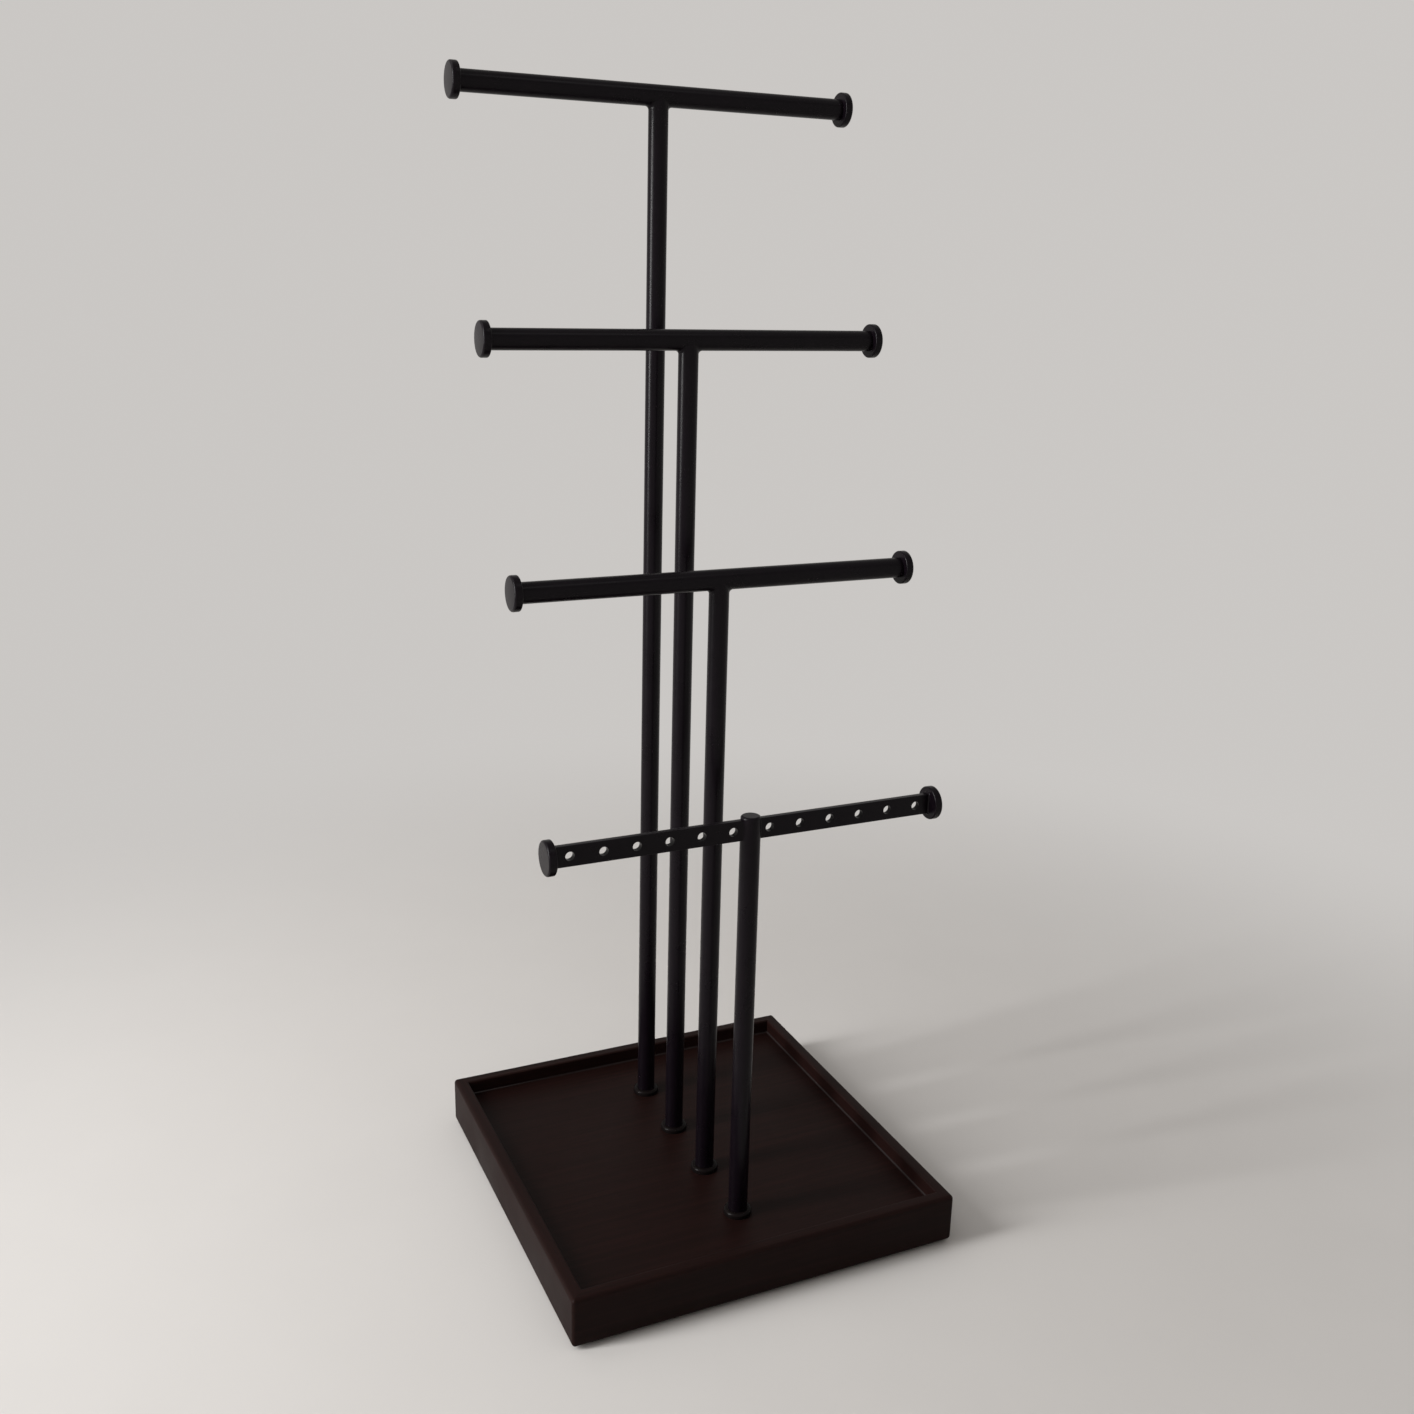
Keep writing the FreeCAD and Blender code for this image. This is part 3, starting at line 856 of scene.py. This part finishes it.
def cap_weld(bm, sizes, size, face):
    """A small weld round the strip where it enters a cap's inner face."""
    ball = sizes.strip_weld
    inward = -1 if face.x > 0 else 1
    half_thick, half_high = size.y / 2 - sizes.strip_edge, size.z / 2 - sizes.strip_edge
    section = arc(ball, ball, ball, 180, 270) + [(0, 0)]
    rings = []
    for stand, spread in section:
        radius = sizes.strip_edge + spread
        corners = ((half_thick, half_high, 0), (-half_thick, half_high, 90),
                   (-half_thick, -half_high, 180), (half_thick, -half_high, 270))
        outline = []
        for y, z, start in corners:
            outline += arc(y, z, radius, start, start + 90)
        rings.append([face + Vector((inward * stand, y, z)) for y, z in outline])
    skin(bm, rings, closed=True)


def post_weld(bm, sizes, size, middle, radius, side_x, side_y):
    """A small upright weld between the strip's face and the post."""
    ball, half_thick = sizes.strip_weld, size.y / 2
    out = half_thick + ball
    centre = Vector((math.sqrt((radius + ball) ** 2 - out ** 2), out, 0))
    on_post = centre * (radius / (radius + ball))
    on_strip = Vector((centre.x, half_thick, 0))
    corner = Vector((math.sqrt(radius ** 2 - half_thick ** 2), half_thick, 0))
    spots = [centre + (on_post - centre).slerp(on_strip - centre, i / ROUND_STEPS) * ball
             for i in range(ROUND_STEPS + 1)] + [corner]
    spots = [Vector((spot.x * side_x, spot.y * side_y, 0)) for spot in spots]
    reach = size.z / 2 - sizes.strip_edge
    capped(bm, [[middle + spot + UP * height for spot in spots] for height in (-reach, reach)])


class JEWELRYTREE_OT_earring_strip(bpy.types.Operator):
    """Make the perforated strip and the small welds that hold it"""
    bl_idname = "jewelry_tree.earring_strip"
    bl_label = "Earring strip"

    def execute(self, context):
        sizes = context.scene.jewelry_tree_sizes
        size, middle = size_of("earring_strip"), centre_of("earring_strip")
        shape = StripShape(sizes, size)
        middle_reach = sizes.hole_gap / 2 - shape.half_pitch
        end_start = middle_reach + sizes.holes_each_side * sizes.hole_pitch
        length_shape = linked("holed_length", shape.holed_length())
        holder = linked("strip_holder", shape.plain_lengths(middle_reach, end_start, size.x / 2))
        use_tree(holder, perforation_tree(), {
            "Holed length": length_shape, "Holes each side": sizes.holes_each_side,
            "Pitch": sizes.hole_pitch, "Middle gap": sizes.hole_gap, "Strip middle": middle,
            "Merge distance": MERGE_DISTANCE, "Finish": powder_coated_steel()})
        add_piece("perforated_strip", evaluated(holder, length_shape), powder_coated_steel(),
                  "earring_tier", "powder_coat", "earring_strip")
        bm = bmesh.new()
        for side, sign in SIDES.items():
            low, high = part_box("earring_end_cap_" + side)
            face_x = low.x if sign > 0 else high.x
            cap_weld(bm, sizes, size, Vector((face_x, middle.y, middle.z)))
            for side_y in (-1, 1):
                post_weld(bm, sizes, size, middle, size_of("earring_post").x / 2, sign, side_y)
        add_piece("strip_welds", mesh_of("strip_welds", bm), powder_coated_steel(), "earring_tier",
                  "powder_coat")
        return {"FINISHED"}


# Feet of the posts
class JEWELRYTREE_OT_collars(bpy.types.Operator):
    """Make the rounded collar at the foot of each post"""
    bl_idname = "jewelry_tree.collars"
    bl_label = "Collars"

    def execute(self, context):
        sizes = context.scene.jewelry_tree_sizes
        for tier in TIERS:
            size = size_of(tier + "_collar")
            outer, tall, ease = size.x / 2, size.z, sizes.collar_round
            inner = outer - sizes.collar_wall
            outline = [(inner, 0), (outer, 0)] + arc(outer - ease, tall - ease, ease, 0, 90) + [(inner, tall)]
            mesh = skin_mesh("collar", turned(outline, foot_of(tier + "_collar"), UP))
            add_piece("collar_" + tier, mesh, moulded_gloss_abs(), tier + "_tier", "collar_plastic",
                      tier + "_collar")
        return {"FINISHED"}


def thread_rings(sizes, foot, start, end):
    """Rings of a screw's shank, whose radius follows the thread's helix."""
    count = round((end - start) / sizes.thread_pitch * THREAD_PITCH_STEPS)
    rings = []
    for i in range(count + 1):
        height = start + (end - start) * i / count
        ring = []
        for j, spot in enumerate(circle(1, THREAD_TURN_STEPS)):
            phase = (height / sizes.thread_pitch - j / THREAD_TURN_STEPS) % 1
            ring.append(foot + spot * (sizes.shank_radius - sizes.thread_depth * abs(2 * phase - 1))
                        + UP * height)
        rings.append(ring)
    return rings


def recess_cutter(sizes, foot):
    """Mesh of a tapered cross that reaches from below a screw's head into it."""
    rings = []
    for height, share in ((-sizes.recess_depth, 1.0), (sizes.recess_depth, RECESS_TAPER_SHARE)):
        arm, half = sizes.recess_length / 2 * share, sizes.recess_width / 2
        corners = [(arm, -half), (arm, half), (half, half)]
        ring = []
        for quarter in range(4):
            turn = Matrix.Rotation(quarter * QUARTER_TURN, 3, "Z")
            ring += [foot + turn @ Vector((x, y, height)) for x, y in corners]
        rings.append(ring)
    bm = bmesh.new()
    capped(bm, rings)
    return mesh_of("recess_cutter", bm)


def screw(sizes, tier):
    """Mesh of a pan head screw with a rolled thread and a tapered cross recess, head downwards."""
    size, foot = size_of(tier + "_screw"), foot_of(tier + "_screw")
    head, tip, ease, tall = size.x / 2, size.z, sizes.head_round, sizes.head_height
    core = sizes.shank_radius - sizes.thread_depth
    outline = [(0, 0)] + arc(head - ease, ease, ease, 270, 360) + [(head, tall), (core, tall)]
    rings = turned(outline, foot, UP, THREAD_TURN_STEPS)
    rings += thread_rings(sizes, foot, tall, tip - sizes.thread_pitch)
    rings += turned([(core, tip), (0, tip)], foot, UP, THREAD_TURN_STEPS)
    bm = bmesh.new()
    skin(bm, rings, closed=False)
    body = linked("screw_body", mesh_of("screw_body", bm))
    cutter = linked("recess_cutter", recess_cutter(sizes, foot))
    cut = body.modifiers.new("Cross recess", "BOOLEAN")
    cut.operation, cut.solver, cut.object = "DIFFERENCE", "EXACT", cutter
    return evaluated(body, cutter)


class JEWELRYTREE_OT_screws(bpy.types.Operator):
    """Make the screws and washers under the tray and finish the threaded plugs"""
    bl_idname = "jewelry_tree.screws"
    bl_label = "Screws"

    def execute(self, context):
        sizes = context.scene.jewelry_tree_sizes
        for tier in TIERS:
            add_piece("screw_" + tier, screw(sizes, tier), zinc_plated_steel(), tier + "_tier",
                      "zinc_steel", tier + "_screw")
            size = size_of(tier + "_washer")
            outer, tall, ease = size.x / 2, size.z, sizes.washer_round
            outline = [(sizes.washer_bore, 0)] + arc(outer - ease, ease, ease, 270, 360)
            outline += [(outer, tall), (sizes.washer_bore, tall)]
            mesh = skin_mesh("washer", turned(outline, foot_of(tier + "_washer"), UP))
            add_piece("washer_" + tier, mesh, zinc_plated_steel(), tier + "_tier", "zinc_steel",
                      tier + "_washer")
            finish_node(tier + "_screw_plug", zinc_plated_steel())
        return {"FINISHED"}


# Stage
def aimed(name, data, stand, aim, roll=0):
    """Link a lamp or a camera that stands at one point and faces another."""
    made = linked(name, data)
    made.location = stand
    made.rotation_mode = "QUATERNION"
    look = Vector(aim) - Vector(stand)
    made.rotation_quaternion = look.to_track_quat("-Z", "Y") @ Quaternion(UP, roll)
    return made


def soft_lamp(name, stand, aim, width, height, power):
    """Link an area lamp that faces a point."""
    lamp = bpy.data.lights.new(name, "AREA")
    lamp.shape, lamp.size, lamp.size_y, lamp.energy = "RECTANGLE", width, height, power
    aimed(name, lamp, stand, aim)


class JEWELRYTREE_OT_stage(bpy.types.Operator):
    """Set up the pale floor and backdrop, the lamps and the camera"""
    bl_idname = "jewelry_tree.stage"
    bl_label = "Stage"

    def execute(self, context):
        scene = context.scene
        stage = scene.jewelry_tree_stage
        cove = stage.cove_radius
        outline = [(0, 0)] + arc(stage.floor_radius, cove, cove, 270, 360)
        outline += [(stage.floor_radius + cove, stage.backdrop_height)]
        bm = bmesh.new()
        skin(bm, turned(outline, ORIGIN, UP), closed=False)
        bmesh.ops.reverse_faces(bm, faces=bm.faces)
        mesh = bpy.data.meshes.new("backdrop")
        bm.to_mesh(mesh)
        bm.free()
        mesh.shade_smooth()
        mesh.materials.append(matte_painted_board())
        linked("backdrop", mesh)

        aim = (cad_box[0] + cad_box[1]) / 2
        soft_lamp("key_lamp", stage.key_place, aim, stage.key_width, stage.key_height, stage.key_power)
        soft_lamp("fill_lamp", stage.fill_place, aim, stage.fill_width, stage.fill_width, stage.fill_power)
        soft_lamp("top_lamp", stage.top_place, aim, stage.top_width, stage.top_width, stage.top_power)
        world = bpy.data.worlds.new("even_sky")
        world.use_nodes = True
        scene.world = world
        sky = world.node_tree.nodes["Background"]
        sky.inputs["Color"].default_value = opaque(scene.jewelry_tree_colours.backdrop)
        sky.inputs["Strength"].default_value = stage.sky_strength

        camera = bpy.data.cameras.new("camera")
        camera.lens, camera.sensor_width = stage.camera_lens, SENSOR_WIDTH
        scene.camera = aimed("camera", camera, stage.camera_place, stage.camera_aim, stage.camera_roll)
        scene.view_settings.view_transform = "Standard"
        return {"FINISHED"}


OPERATORS = (JEWELRYTREE_OT_tray, JEWELRYTREE_OT_foot_pads, JEWELRYTREE_OT_posts, JEWELRYTREE_OT_crossbars,
             JEWELRYTREE_OT_end_caps, JEWELRYTREE_OT_earring_strip, JEWELRYTREE_OT_collars,
             JEWELRYTREE_OT_screws, JEWELRYTREE_OT_stage)
SETTINGS = {"jewelry_tree_sizes": JewelryTreeSizes, "jewelry_tree_colours": JewelryTreeColours,
            "jewelry_tree_stage": JewelryTreeStage}


class JEWELRYTREE_PT_sidebar(bpy.types.Panel):
    """Lists the settings and the steps that make the jewelry tree"""
    bl_idname = "JEWELRYTREE_PT_sidebar"
    bl_label = "Jewelry tree"
    bl_space_type = "VIEW_3D"
    bl_region_type = "UI"
    bl_category = "Jewelry tree"

    def draw(self, context):
        for setting in SETTINGS:
            group = getattr(context.scene, setting)
            column = self.layout.column(align=True)
            for key in group.__annotations__:
                column.prop(group, key)
        for operator in OPERATORS:
            self.layout.operator(operator.bl_idname)


def register():
    for setting, group in SETTINGS.items():
        bpy.utils.register_class(group)
        setattr(bpy.types.Scene, setting, bpy.props.PointerProperty(type=group))
    for made in (*OPERATORS, JEWELRYTREE_PT_sidebar):
        bpy.utils.register_class(made)


def unregister():
    for made in reversed((*OPERATORS, JEWELRYTREE_PT_sidebar)):
        bpy.utils.unregister_class(made)
    for setting, group in SETTINGS.items():
        delattr(bpy.types.Scene, setting)
        bpy.utils.unregister_class(group)


def main():
    register()
    bpy.ops.jewelry_tree.tray()
    bpy.ops.jewelry_tree.foot_pads()
    bpy.ops.jewelry_tree.posts()
    bpy.ops.jewelry_tree.crossbars()
    bpy.ops.jewelry_tree.end_caps()
    bpy.ops.jewelry_tree.earring_strip()
    bpy.ops.jewelry_tree.collars()
    bpy.ops.jewelry_tree.screws()
    bpy.ops.jewelry_tree.stage()


if __name__ == "__main__":
    main()
